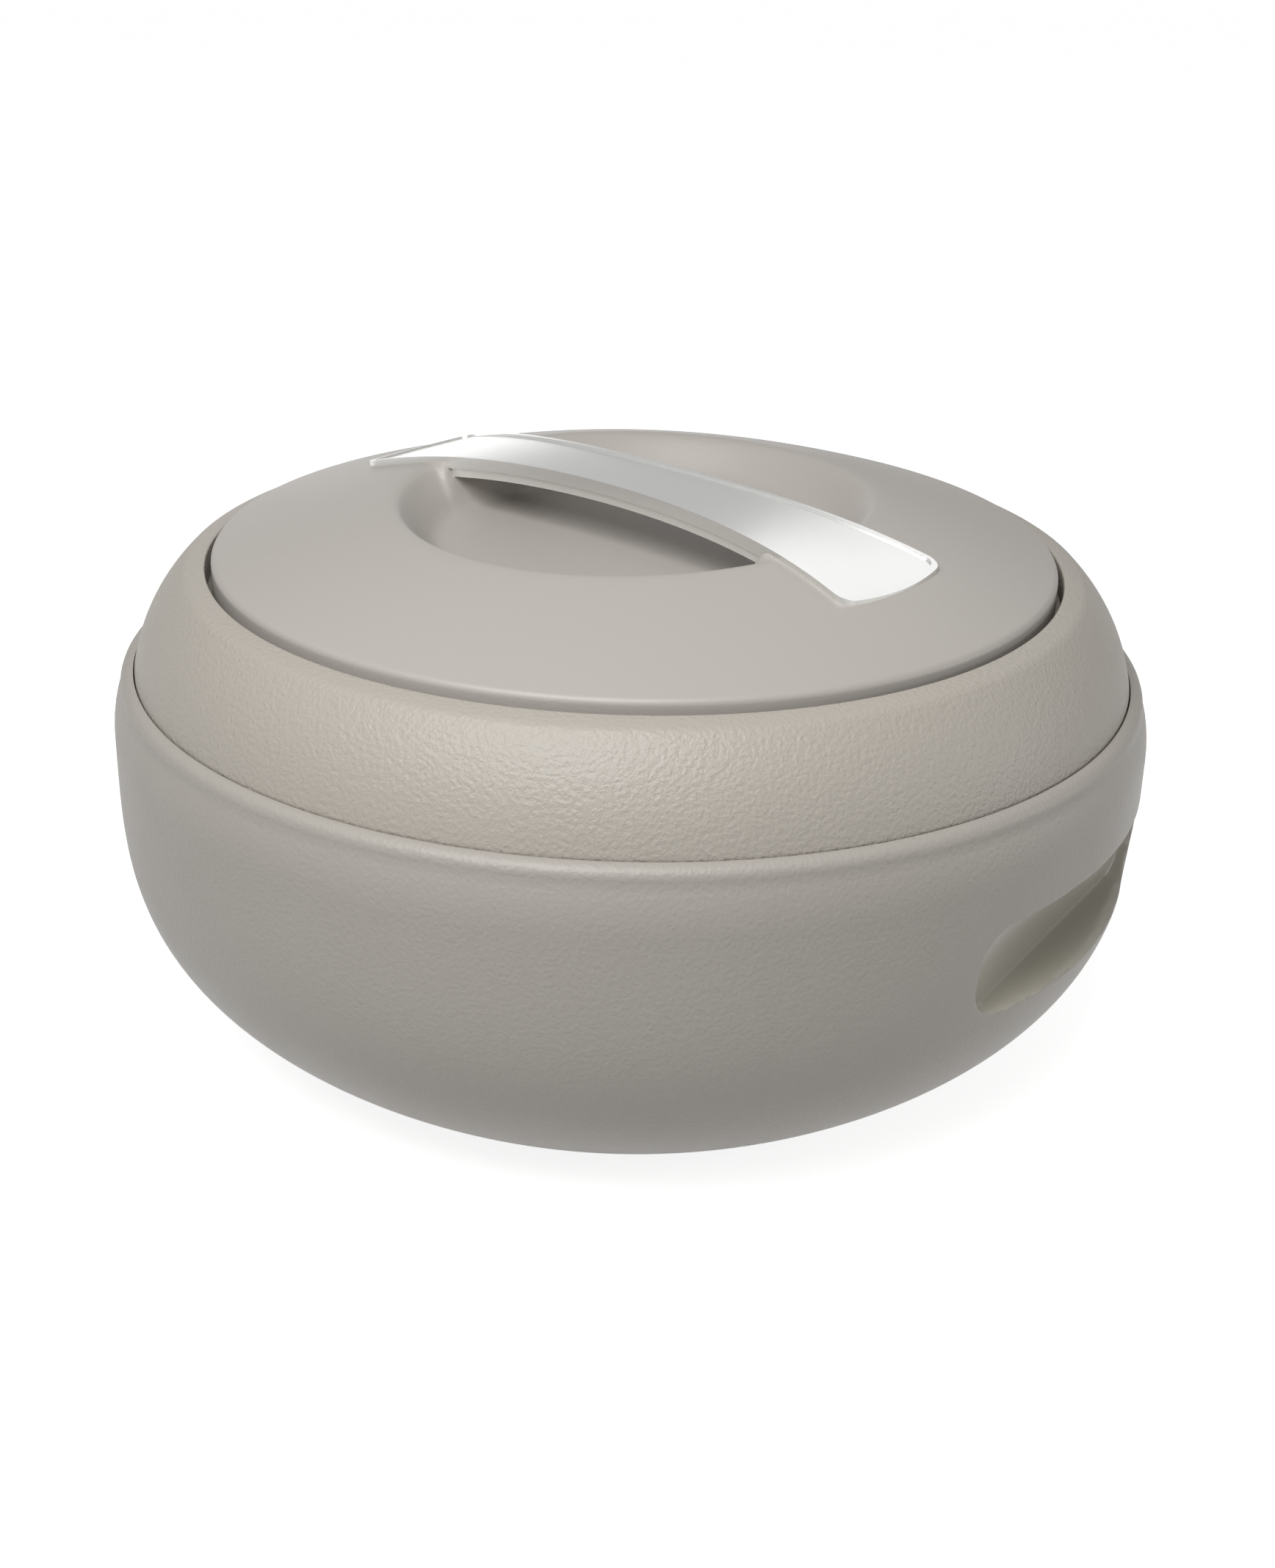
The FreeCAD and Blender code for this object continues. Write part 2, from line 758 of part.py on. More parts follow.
def make_liner():
    """Steel liner pan: a flat floor that plugs the bowl's mouth and a flange inside the skirt."""
    gauge = size("liner_gauge")
    flange = liner_flange_level
    floor = flange - size("liner_depth")
    blank = revolved("liner_blank", polyline([
        (0, floor), (liner_radius, floor), (liner_radius, flange), (skirt_radius, flange),
        (skirt_radius, flange + gauge), (0, flange + gauge), (0, floor),
    ]))
    room = revolved("liner_room", polyline([
        (0, floor + gauge), (liner_radius - gauge, floor + gauge), (liner_radius - gauge, flange + PAST),
        (0, flange + PAST), (0, floor + gauge),
    ]))
    soft = round_edges("liner_soft", blank, size("liner_corner"), circle_at(floor))
    soft_room = round_edges("liner_room_soft", room, size("liner_corner") - gauge, circle_at(floor + gauge))
    return cut("lid_liner", soft, soft_room)


def make_base_ring():
    """Plastic ring that closes the lid's edge from below and holds the seal in a groove."""
    groove = skirt_level + size("seal_sunk")
    return revolved("lid_base_ring", polyline([
        (base_ring_radius, skirt_level), (seal_inner_radius, skirt_level), (seal_inner_radius, groove),
        (seal_outer_radius, groove), (seal_outer_radius, skirt_level), (skirt_radius, skirt_level),
        (skirt_radius, liner_flange_level), (base_ring_radius, liner_flange_level),
        (base_ring_radius, skirt_level),
    ]))


def make_seal():
    """Silicone seal in the base ring's groove, resting on the bowl's flange."""
    low = skirt_level - size("skirt_lift")
    high = skirt_level + size("seal_sunk")
    lip = size("seal_lip")
    inner = seal_inner_radius
    outer = seal_outer_radius
    return revolved("lid_seal", polyline([
        (inner + lip, low), (outer - lip, low), (outer, low + lip), (outer, high), (inner, high),
        (inner, low + lip), (inner + lip, low),
    ]))


def make_lid_foam():
    """Foam between cover and liner, clear of the dish and the strap bosses."""
    play = size("foam_play")
    wall = size("lid_wall") + play
    flange = liner_flange_level + size("liner_gauge")
    pan = liner_radius - size("liner_gauge") - play
    low = flange - size("liner_depth") + play
    corner = size("liner_corner")
    upper = lid_blank("lid_foam_upper", wall, flange + play)
    lower = revolved("lid_foam_lower", polyline([
        (0, low), (pan - corner, low), (pan, low + corner), (pan, flange + wall), (0, flange + wall),
        (0, low),
    ]))
    bosses = boss_group(
        "lid_foam_bosses", "Sizes.boss_radius + Sizes.boss_play + Sizes.foam_play",
        boss_foot_level - size("screw_head_height") - play, boss_level + PAST,
    )
    rooms = joined("lid_foam_rooms", [dish_tool("lid_foam_dish", wall), bosses])
    return cut("lid_foam", joined("lid_foam_whole", [upper, lower]), rooms)


# Strap handle

def strap_top(along):
    """Height of the strap's upper edge at a distance along it.

    It falls from its crown to a little over the dome at its ends, by a mix of square and fourth power.
    """
    fall = strap_crown_level - dome(strap_reach) - size("strap_end_proud")
    square = (along / strap_reach) ** 2
    share = size("strap_square_share")
    return strap_crown_level - fall * (share * square + (1 - share) * square ** 2)


def strap_band(name, drop, thickness):
    """An arched band wider than the strap, its top below the strap's upper edge by drop."""
    upper = [(step, strap_top(step) - drop) for step in both_ways_steps(strap_reach + PAST)]
    lower = [(x, z - thickness) for x, z in upper]
    outline = [through(lower), line(lower[-1], upper[-1]), through(upper[::-1]), line(upper[0], lower[0])]
    return padded(name, "XZ_Plane", outline, "2 * Sizes.strap_end_width", both_ways=True)


def strap_plan(name, inset):
    """The strap seen from above: a waisted strip with bowed ends and rounded corners, smaller by inset."""
    half = strap_reach - inset
    end = half - size("strap_end_bow")
    waist = size("strap_waist") / 2 - inset
    wide = size("strap_end_width") / 2 - inset
    side = [(step, waist + (wide - waist) * (step / end) ** 2) for step in both_ways_steps(end)]
    near = [(x, -y) for x, y in side]
    outline = [
        through(near), arc((end, -wide), (half, 0), (end, wide)),
        through(side[::-1]), arc((-end, wide), (-half, 0), (-end, -wide)),
    ]
    body = padded(name, "XY_Plane", outline, f"{strap_crown_level + 2 * PAST}")

    def upright(edge):
        ends = [vertex.Point for vertex in edge.Vertexes]
        return len(ends) == 2 and math.hypot(ends[0].x - ends[1].x, ends[0].y - ends[1].y) < NEAR

    return round_edges(name + "_soft", body, size("strap_corner") - inset, upright)


def make_strap(keep_out):
    """Silver strap: an arched, waisted strip with a dished top and four bosses through the cover."""
    band = strap_band("strap_arch", 0.0, size("strap_thickness"))
    body = common("strap_body", band, strap_plan("strap_plan", 0.0))
    hollow = common(
        "strap_hollow", strap_band("strap_dish_band", size("strap_dish") - PAST, PAST),
        strap_plan("strap_dish_plan", size("strap_lip")),
    )
    seated = cut("strap_seated", cut("strap_dished", body, hollow), keep_out)
    root = strap_top(boss_reach) - size("strap_end_thickness") + size("boss_bite")
    bosses = boss_group("strap_bosses", "Sizes.boss_radius", boss_foot_level, root)
    roof = root - size("boss_roof")
    pilots = boss_group("strap_pilots", "Sizes.screw_radius", boss_foot_level - PAST, roof)
    return cut("handle_strap", joined("strap_with_bosses", [seated, bosses]), pilots)


def make_under_grip(keep_out):
    """Second layer under the strap, which spans the dish between the two pads."""
    band = strap_band("under_arch", size("strap_thickness"), size("under_thickness"))
    body = common("under_body", band, strap_plan("under_plan", size("under_inset")))
    span = doc.addObject("Part::Box", "under_span")
    span.setExpression("Length", f"{2 * pad_reach}")
    span.setExpression("Width", "2 * Sizes.strap_end_width")
    span.setExpression("Height", f"{crown_level}")
    span.setExpression("Placement.Base.x", f"{-pad_reach}")
    span.setExpression("Placement.Base.y", "-Sizes.strap_end_width")
    doc.recompute()
    return cut("handle_under_grip", common("under_spanned", body, span), keep_out)


def make_screws():
    """Four screws, heads inside the lid, that pull the strap's bosses down onto the cover."""
    head = size("screw_head_height")
    shanks = boss_group(
        "screw_shanks", "Sizes.screw_radius - Sizes.screw_play",
        boss_foot_level - head / 2, boss_foot_level + size("screw_length"),
    )
    heads = boss_group("screw_heads", "Sizes.screw_head_radius", boss_foot_level - head, boss_foot_level)
    return joined("handle_screws", [shanks, heads])


# Assembly

cover, keep_out = make_lid()
LID_NODES = [
    ("lid_cover", cover),
    ("lid_liner", make_liner()),
    ("lid_base_ring", make_base_ring()),
    ("lid_seal", make_seal()),
    ("lid_foam", make_lid_foam()),
    ("handle_strap", make_strap(keep_out)),
    ("handle_under_grip", make_under_grip(keep_out)),
    ("handle_screws", make_screws()),
]
BODY_NODES = [
    ("outer_shell", make_outer_shell()),
    ("shoulder_ring", make_shoulder_ring()),
    ("inner_bowl", make_inner_bowl()),
    ("body_foam", make_body_foam()),
    ("base_plug", make_base_plug()),
]
for (word, angle), foot in zip(foot_places(), make_feet()):
    BODY_NODES.append((f"foot_{word}", foot))

for label, node in LID_NODES:
    node.Placement = FreeCAD.Placement(Vector(), FreeCAD.Rotation(Vector(0, 0, 1), size("lid_turn")))
    node.setExpression("Placement.Rotation.Angle", "Sizes.lid_turn")
doc.recompute()


def export_nodes(nodes):
    """Check every object and each node's solid, then write one file for each node."""
    for item in doc.Objects:
        if "Invalid" in item.State or "Error" in item.State:
            raise RuntimeError(f"{item.Name} failed: {item.State}")
    for label, node in nodes:
        node.Label = label
        shape = node.Shape
        if shape.isNull() or not shape.isValid() or not shape.Solids:
            raise RuntimeError(f"{label} has no sound solid")
    os.makedirs("parts", exist_ok=True)
    for label, node in nodes:
        node.Shape.exportStep(f"parts/{label}.step")
        box = node.Shape.BoundBox
        print(f"{label}: {len(node.Shape.Solids)} solids, {node.Shape.Volume / 1000:.1f} cm3, "
              f"z {box.ZMin:.1f} to {box.ZMax:.1f}, x {box.XMin:.1f} to {box.XMax:.1f}")


export_nodes(BODY_NODES + LID_NODES)
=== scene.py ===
"""The looks of an insulated chapati casserole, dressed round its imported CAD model.

Metres, +Z up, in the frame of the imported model. The camera stands where the photograph was taken from.
"""
import logging
import math
from dataclasses import dataclass
from enum import Enum
from typing import Any

import bpy
import numpy as np
from mathutils import Matrix, Vector


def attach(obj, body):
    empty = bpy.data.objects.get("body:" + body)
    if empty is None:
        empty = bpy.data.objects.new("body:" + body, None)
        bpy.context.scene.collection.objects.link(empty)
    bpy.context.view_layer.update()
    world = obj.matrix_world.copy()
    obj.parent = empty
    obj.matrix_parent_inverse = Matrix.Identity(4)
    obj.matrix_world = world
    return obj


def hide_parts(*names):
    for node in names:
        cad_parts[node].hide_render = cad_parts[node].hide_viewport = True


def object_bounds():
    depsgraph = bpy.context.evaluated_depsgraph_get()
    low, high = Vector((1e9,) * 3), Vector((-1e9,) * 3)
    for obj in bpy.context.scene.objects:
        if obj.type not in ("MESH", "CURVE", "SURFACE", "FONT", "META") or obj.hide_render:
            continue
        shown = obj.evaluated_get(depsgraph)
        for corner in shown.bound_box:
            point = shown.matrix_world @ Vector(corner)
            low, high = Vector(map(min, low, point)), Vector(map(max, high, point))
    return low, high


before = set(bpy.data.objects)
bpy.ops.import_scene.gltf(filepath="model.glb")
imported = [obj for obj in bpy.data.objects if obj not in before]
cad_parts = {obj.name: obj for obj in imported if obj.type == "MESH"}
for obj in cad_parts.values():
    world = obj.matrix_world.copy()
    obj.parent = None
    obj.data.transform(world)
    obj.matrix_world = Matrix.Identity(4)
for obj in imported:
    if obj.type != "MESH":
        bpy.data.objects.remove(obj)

CAD_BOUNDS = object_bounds()
MILLIMETRE = 0.001
SHARP_ANGLE = 50.0  # degrees between two faces from which their edge stays sharp
GLOSS_DETAIL = 3.0  # octaves of the noise that lets the gloss wander
GRAIN_DETAIL = 2.0  # octaves of the noise that makes the grain
LEAST_COSINE = 0.5  # keeps a grip's back wall finite far away from the grip
WHITE = "FFFFFF"
LOG = logging.getLogger("casserole")


class Body(Enum):
    """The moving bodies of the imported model."""

    CASSEROLE = "casserole_body"
    LID = "lid"


class Reflection(Enum):
    """How a finish treats light: plain, as metal flakes in lacquer, or as bare metal."""

    DIELECTRIC = 0.0
    LACQUER = 0.8
    METAL = 1.0


def linear(colour: str) -> tuple[float, float, float, float]:
    """Turn a written colour into what a shader takes.

    Args:
        colour: sRGB colour as six hexadecimal digits.

    Returns:
        Linear red, green and blue, and an alpha of one.
    """
    shares = [int(colour[place:place + 2], 16) / 255 for place in (0, 2, 4)]
    red, green, blue = [
        share / 12.92 if share <= 0.04045 else ((share + 0.055) / 1.055) ** 2.4 for share in shares
    ]
    return red, green, blue, 1.0


def add_node(
    tree: bpy.types.NodeTree,
    kind: str,
    settings: dict[str, Any] | None = None,
    links: dict[str, bpy.types.NodeSocket] | None = None,
) -> bpy.types.Node:
    """Add one shader node.

    Args:
        tree: The node tree that the node goes into.
        kind: Blender's name for the node type.
        settings: Properties of the node and values of its inputs, by name.
        links: Sockets that feed the node's inputs, by input name.

    Returns:
        The new node.
    """
    node = tree.nodes.new(kind)
    for name, value in (settings or {}).items():
        if name in node.inputs:
            node.inputs[name].default_value = value
        else:
            setattr(node, name, value)
    for name, socket in (links or {}).items():
        tree.links.new(socket, node.inputs[name])
    return node


@dataclass(frozen=True)
class Finish:
    """One real finish: its colour, gloss and the fine relief of its surface.

    Attributes:
        name: The material and how its surface was made.
        colour: sRGB colour as six hexadecimal digits.
        roughness: Roughness of the reflection.
        ior: Index of refraction.
        reflection: How it treats light.
        grain: Width of one grain of the relief, in millimetres.
        grain_depth: Height of the relief, in millimetres.
        gloss_spread: How far the roughness wanders over the surface.
        gloss_patch: Width of one patch of the same gloss, in millimetres.
    """

    name: str
    colour: str
    roughness: float
    ior: float = 1.49
    reflection: Reflection = Reflection.DIELECTRIC
    grain: float = 0.6
    grain_depth: float = 0.0
    gloss_spread: float = 0.0
    gloss_patch: float = 25.0

    def make(self) -> bpy.types.Material:
        """Build the material.

        Returns:
            A material whose relief and gloss come from noise in the object's own coordinates.
        """
        material = bpy.data.materials.new(self.name)
        material.use_nodes = True
        tree = material.node_tree
        shader = tree.nodes["Principled BSDF"]
        shader.inputs["Base Color"].default_value = linear(self.colour)
        shader.inputs["Roughness"].default_value = self.roughness
        shader.inputs["IOR"].default_value = self.ior
        shader.inputs["Metallic"].default_value = self.reflection.value
        place = add_node(tree, "ShaderNodeTexCoord").outputs["Object"]
        if self.gloss_spread:
            per_metre = 1 / (self.gloss_patch * MILLIMETRE)
            wander = add_node(
                tree, "ShaderNodeTexNoise", {"Scale": per_metre, "Detail": GLOSS_DETAIL}, {"Vector": place},
            )
            gloss = add_node(
                tree, "ShaderNodeMapRange",
                {"To Min": self.roughness - self.gloss_spread, "To Max": self.roughness + self.gloss_spread},
                {"Value": wander.outputs["Fac"]},
            )
            tree.links.new(gloss.outputs["Result"], shader.inputs["Roughness"])
        if self.grain_depth:
            per_metre = 1 / (self.grain * MILLIMETRE)
            grain = add_node(
                tree, "ShaderNodeTexNoise", {"Scale": per_metre, "Detail": GRAIN_DETAIL}, {"Vector": place},
            )
            relief = add_node(
                tree, "ShaderNodeBump",
                {"Strength": 1.0, "Distance": self.grain_depth * MILLIMETRE}, {"Height": grain.outputs["Fac"]},
            )
            tree.links.new(relief.outputs["Normal"], shader.inputs["Normal"])
        return material


# Satin polypropylene from a spark-eroded mould: the fine grain breaks up the highlights
SHELL = Finish(
    "taupe polypropylene, spark-eroded mould", "A19C95", 0.46, grain=1.2, grain_depth=0.22, gloss_spread=0.05,
)
# The ring has a deeper leather-like grain than the shell, so its highlight is broken into fine flecks
RING = Finish(
    "taupe polypropylene, grained mould", "A7A198", 0.46, grain=1.2, grain_depth=0.36, gloss_spread=0.05,
)
# The lid is the smoothest of the three, so its dome reads as one even sheen
LID = Finish(
    "taupe polypropylene, satin mould", "A9A49E", 0.42, grain=0.8, grain_depth=0.05, gloss_spread=0.04,
)
# Silver lacquer of the strap: flakes in lacquer give broad soft reflections that run from white to mid grey
STRAP = Finish(
    "silver lacquer, satin, on moulded plastic", "E8E8E6", 0.22, ior=1.5, reflection=Reflection.LACQUER,
    grain=0.3, grain_depth=0.002, gloss_spread=0.04,
)
# The layer under the strap is painted paler than the strap's silver lacquer: painted light that keeps it bright in
# the strap's shade
UNDER = Finish(
    "silver lacquer, painted light, on moulded plastic", "F4F4F2", 0.25, reflection=Reflection.LACQUER,
    grain=0.3, grain_depth=0.002,
)
# The grips' walls are smoother than the grained shell, and painted paler and greener than it: painted light for the
# bright reflection inside the grips
GRIP_WALL = Finish("taupe polypropylene, glossy, painted light in grips", "B4B0A4", 0.22, grain=2.0, grain_depth=0.02)
# Brushed stainless steel of the bowl and the liner: mirrors the surroundings as a soft dark sheen
STEEL = Finish("stainless steel, brushed", "C6C6C4", 0.28, ior=2.5, reflection=Reflection.METAL, gloss_spread=0.05)
# Rigid foam is dull and open, with no sheen
FOAM = Finish("polyurethane foam, moulded", "E8DDB4", 0.95, ior=1.45, grain=1.2, grain_depth=0.1)
# Soft matt rubber reads as dark spots that take no highlight
FEET = Finish("thermoplastic rubber, matt", "3A3837", 0.80, ior=1.50, grain=0.4, grain_depth=0.01)
# Translucent white silicone looks waxy and pale
SILICONE = Finish("silicone, moulded", "D6D4CE", 0.55, ior=1.41)
# Plain moulded plastic of the hidden pieces, a shade darker than the shell
INNER = Finish("grey polypropylene, plain mould", "7C7872", 0.50)
# Zinc plating gives the screws a cool blurred shine
ZINC = Finish("steel, zinc plated", "B4B6BA", 0.35, ior=2.5, reflection=Reflection.METAL)
# Matt paper under the object shows only its soft shadow
PAPER = Finish("paper, matt white", "B8B8B8", 0.9)


def soft_lower(first: np.ndarray, second: np.ndarray, softness: float) -> np.ndarray:
    """Take the lower of two heights with the crease between them rounded.

    Args:
        first: Heights of one surface.
        second: Heights of the other surface.
        softness: Twice the depth that the rounding takes off at the crease.

    Returns:
        The mean of both less half the root of their squared gap plus the squared softness.
    """
    return (first + second - np.sqrt((first - second) ** 2 + softness ** 2)) / 2


def soft_upper(first: np.ndarray, second: np.ndarray, softness: float) -> np.ndarray:
    """Take the upper of two heights with the crease between them filled.

    Args:
        first: Heights of one surface.
        second: Heights of the other surface.
        softness: Twice the depth of the filling at the crease.

    Returns:
        The mean of both plus half the root of their squared gap plus the squared softness.
    """
    return -soft_lower(-first, -second, softness)


def skin_rings(name: str, rings: np.ndarray, poles: tuple[np.ndarray, np.ndarray] | None = None) -> bpy.types.Mesh:
    """Skin a stack of closed rings, counter-clockwise from above and going outwards over the top.

    Args:
        name: Name of the mesh.
        rings: Points in millimetres, as (ring, place on the ring, axis).
        poles: Points inside the first and the last ring. Without them the last ring joins the first.

    Returns:
        A closed mesh in metres with outward normals, smooth but for its sharp corners.
    """
    count, places = rings.shape[:2]
    points = rings.reshape(-1, 3)
    here = np.arange(count * places).reshape(count, places)
    if poles is None:
        here = np.concatenate([here, here[:1]])
    beside = np.roll(here, -1, axis=1)
    faces = np.stack([here[:-1], here[1:], beside[1:], beside[:-1]], axis=-1).reshape(-1, 4).tolist()
    if poles is not None:
        first = np.full(places, len(points))
        faces += np.stack([first, here[0], beside[0]], axis=-1).tolist()
        faces += np.stack([first + 1, beside[-1], here[-1]], axis=-1).tolist()
        points = np.concatenate([points, poles])
    mesh = bpy.data.meshes.new(name)
    mesh.from_pydata((points * MILLIMETRE).tolist(), [], faces)
    mesh.shade_smooth()
    mesh.set_sharp_from_angle(angle=math.radians(SHARP_ANGLE))
    return mesh


def place_rings(radius: np.ndarray, height: np.ndarray, angle: np.ndarray) -> np.ndarray:
    """Place rings round the axis.

    Args:
        radius: Radius of each ring as a column, or of each point.
        height: Height of each ring as a column, or of each point.
        angle: Angle of each place on a ring, in radians.

    Returns:
        Points as (ring, place, axis).
    """
    shape = (len(radius), len(angle))
    spread = np.broadcast_to(radius, shape)
    return np.stack([spread * np.cos(angle), spread * np.sin(angle), np.broadcast_to(height, shape)], axis=-1)


def turn_outline(outline: np.ndarray, angle: np.ndarray) -> np.ndarray:
    """Turn an outline round the axis.

    Args:
        outline: Radius and height of each point, as (place, axis).
        angle: Angle of each place on a ring, in radians.

    Returns:
        Points as (ring, place, axis).
    """
    return place_rings(outline[:, :1], outline[:, 1:], angle)


def round_corners(corners: list[tuple[float, float, float]], steps: int = 5) -> np.ndarray:
    """Round the corners of a closed outline.

    Args:
        corners: Radius, height and rounding of each corner, in millimetres.
        steps: Points on each rounded corner.

    Returns:
        Points as (place, axis): at each rounded corner a parabola that touches both sides.
    """
    spots = np.array([corner[:2] for corner in corners])
    points = []
    for spot, before, after, (_, _, rounding) in zip(spots, np.roll(spots, 1, 0), np.roll(spots, -1, 0), corners):
        if not rounding:
            points.append(spot[None])
            continue
        start = spot + (before - spot) / np.linalg.norm(before - spot) * rounding
        end = spot + (after - spot) / np.linalg.norm(after - spot) * rounding
        part = np.linspace(0, 1, steps)[:, None]
        points.append((1 - part) ** 2 * start + 2 * part * (1 - part) * spot + part ** 2 * end)
    return np.concatenate(points)


def bulged_side(start: tuple[float, float], end: tuple[float, float], bulge: float, steps: int) -> np.ndarray:
    """Points inside a side that bulges out to the left on the way to its end.

    Args:
        start: Radius and height of the start.
        end: Radius and height of the end.
        bulge: How far the middle stands off the straight line.
        steps: How many points.

    Returns:
        Points as (place, axis) on a parabola, without its two ends.
    """
    first, last = np.array(start), np.array(end)
    part = np.linspace(0, 1, steps + 2)[1:-1, None]
    chord = last - first
    out = np.array([-chord[1], chord[0]]) / np.linalg.norm(chord)
    return first + chord * part + out * bulge * 4 * part * (1 - part)


def put(name: str, mesh: bpy.types.Mesh, body: Body, node: str) -> None:
    """Put a piece in the scene and let it stand for a CAD node.

    Args:
        name: Name of the piece.
        mesh: Its mesh, in place and with its finishes.
        body: The body that it rides on.
        node: The CAD node that it stands for.
    """
    piece = bpy.data.objects.new(name, mesh)
    bpy.context.scene.collection.objects.link(piece)
    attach(piece, body.value)
    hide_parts(node)
    LOG.info("%s stands for %s on %s", name, node, body.value)


@dataclass
class OuterShell:
    """The moulded outer shell with its two hand grips, in millimetres.

    Attributes:
        base_radius: Radius of the base.
        base_level: Height of the underside.
        base_slope: Slope of the wall where it leaves the base, in degrees.
        base_pull: How far the wall keeps that slope.
        belly_radius: Largest radius.
        belly_level: Its height.
        belly_pull: How far below the belly the wall stands upright.
        lip_radius: Radius where the lip turns in.
        lip_level: Its height.
        seam_radius: Radius of the opening for the shoulder ring.
        seam_level: Height of the top edge.
        seam_land: Width of the top edge.
        ledge_radius: Inner radius of the ledge under the ring.
        ledge_level: Its height.
        port_radius: Radius of the opening in the base.
        wall: Thickness.
        grip_half_width: Half the width of a grip.
        grip_low: Height of a grip's lower edge.
        grip_high: Height of a grip's upper edge.
        grip_corner: Radius of a grip's corners.
        grip_back: Distance of a grip's flat back wall from the axis plane.
        grip_rim: Width over which a grip's side falls to its back wall.
        grip_softness: Rounding of a grip's rim and foot.
        gloss_and_painted_light_depth: How deep the walls are pressed in where the grips' glossier finish starts,
            painted paler as painted light.
        seam_bulge: How far the side between the seam and the lip bulges out.
        seam_steps: Points on that side.
        lip_bulge: How far the side between the lip and the belly bulges out.
        lip_steps: Points on that side.
        flank_grips: Shares of the lower wall's curve between which the grips lie, from the top.
        flank_steps: Points above, beside and below the grips.
        inner_start: Share of that curve where the inner side starts.
        inner_steps: Points on the inner side.
        grip_ends: Angles between which a grip's ends lie, in degrees from its middle.
        end_steps: Places along each end.
        middle_steps: Places along a grip's middle.
        plain_steps: Places between the grips.
    """

    base_radius: float = 96.3
    base_level: float = 1.5
    base_slope: float = 30.9
    base_pull: float = 58.5
    belly_radius: float = 144.95
    belly_level: float = 91.8
    belly_pull: float = 40.0
    lip_radius: float = 142.6
    lip_level: float = 104.1
    seam_radius: float = 139.0
    seam_level: float = 108.4
    seam_land: float = 0.6
    ledge_radius: float = 135.6
    ledge_level: float = 101.0
    port_radius: float = 13.4
    wall: float = 2.6
    grip_half_width: float = 55.0
    grip_low: float = 52.3
    grip_high: float = 80.0
    grip_corner: float = 12.0
    grip_back: float = 131.0
    grip_rim: float = 2.0
    grip_softness: float = 1.2
    gloss_and_painted_light_depth: float = 0.6
    seam_bulge: float = 1.15
    seam_steps: int = 6
    lip_bulge: float = 0.6
    lip_steps: int = 5
    flank_grips: tuple[float, float] = (0.93, 0.52)
    flank_steps: tuple[int, int, int] = (8, 96, 44)
    inner_start: float = 0.04
    inner_steps: int = 40
    grip_ends: tuple[float, float] = (14.0, 25.0)
    end_steps: int = 60
    middle_steps: int = 26
    plain_steps: int = 66

    def flank(self, part: np.ndarray, inset: float) -> np.ndarray:
        """Points of the lower wall.

        Args:
            part: Places from the base corner (0) to the belly (1).
            inset: How far the points lie inside the wall's outer side.

        Returns:
            Points as (place, axis) on a cubic curve that leaves the base at base_slope and ends upright.
        """
        slope = math.radians(self.base_slope)
        poles = np.array([
            (self.base_radius, self.base_level),
            (self.base_radius + self.base_pull * math.cos(slope), self.base_level + self.base_pull * math.sin(slope)),
            (self.belly_radius, self.belly_level - self.belly_pull),
            (self.belly_radius, self.belly_level),
        ])
        rest = 1 - part
        weights = np.stack([rest ** 3, 3 * rest ** 2 * part, 3 * rest * part ** 2, part ** 3], axis=-1)
        slopes = np.stack([rest ** 2, 2 * rest * part, part ** 2], axis=-1)
        along = slopes @ np.diff(poles, axis=0)
        along /= np.linalg.norm(along, axis=1, keepdims=True)
        return weights @ poles + inset * np.stack([-along[:, 1], along[:, 0]], axis=-1)

    def gripped(self, radius: np.ndarray, height: np.ndarray, angle: np.ndarray, inset: float) -> np.ndarray:
        """Radius of the wall with both grips pressed in.

        Args:
            radius: Radius of each ring, as a column.
            height: Height of each ring, as a column.
            angle: Angle of each place, in radians.
            inset: How far the points lie inside the wall's outer side.

        Returns:
            The lesser of the wall and the grip, with a soft rim. The grip is a flat back wall whose sides
            rise as a straight line over the distance from the edge of a rounded oblong.
        """
        across = np.abs(radius * np.sin(angle))
        middle = (self.grip_low + self.grip_high) / 2
        half_height = (self.grip_high - self.grip_low) / 2
        beyond_side = across - self.grip_half_width + self.grip_corner
        beyond_top = np.abs(height - middle) - half_height + self.grip_corner
        outside = np.hypot(np.maximum(beyond_side, 0), np.maximum(beyond_top, 0))
        depth = self.grip_corner - outside - np.minimum(np.maximum(beyond_side, beyond_top), 0)
        back = self.grip_back / np.maximum(np.abs(np.cos(angle)), LEAST_COSINE) - inset
        slope = (self.belly_radius - self.grip_back) / self.grip_rim
        side = back + slope * (self.grip_rim - depth)
        pocket = soft_upper(back, side, self.grip_softness)
        return soft_lower(radius, pocket, self.grip_softness)

    def press(self, outline: np.ndarray, angle: np.ndarray, inset: float) -> np.ndarray:
        """Turn a side of the lower wall round the axis, with both grips pressed in.

        Args:
            outline: Radius and height of each point, as (place, axis).
            angle: Angle of each place on a ring, in radians.
            inset: How far the side lies inside the wall's outer side.

        Returns:
            Points as (ring, place, axis).
        """
        radius, height = outline[:, :1], outline[:, 1:]
        return place_rings(self.gripped(radius, height, angle, inset), height, angle)

    def angles(self) -> np.ndarray:
        """Space the places round a ring.

        Returns:
            Angles in radians, closest at the grips' ends, where the wall turns in.
        """
        start, stop = self.grip_ends
        ends = np.linspace(start, stop, self.end_steps)
        middle = np.linspace(-start, start, self.middle_steps)[1:-1]
        near = np.radians(np.concatenate([-ends[::-1], middle, ends]))
        far = np.radians(np.linspace(stop, 180 - stop, self.plain_steps)[1:-1])
        return np.concatenate([near, far, near + math.pi, far + math.pi])

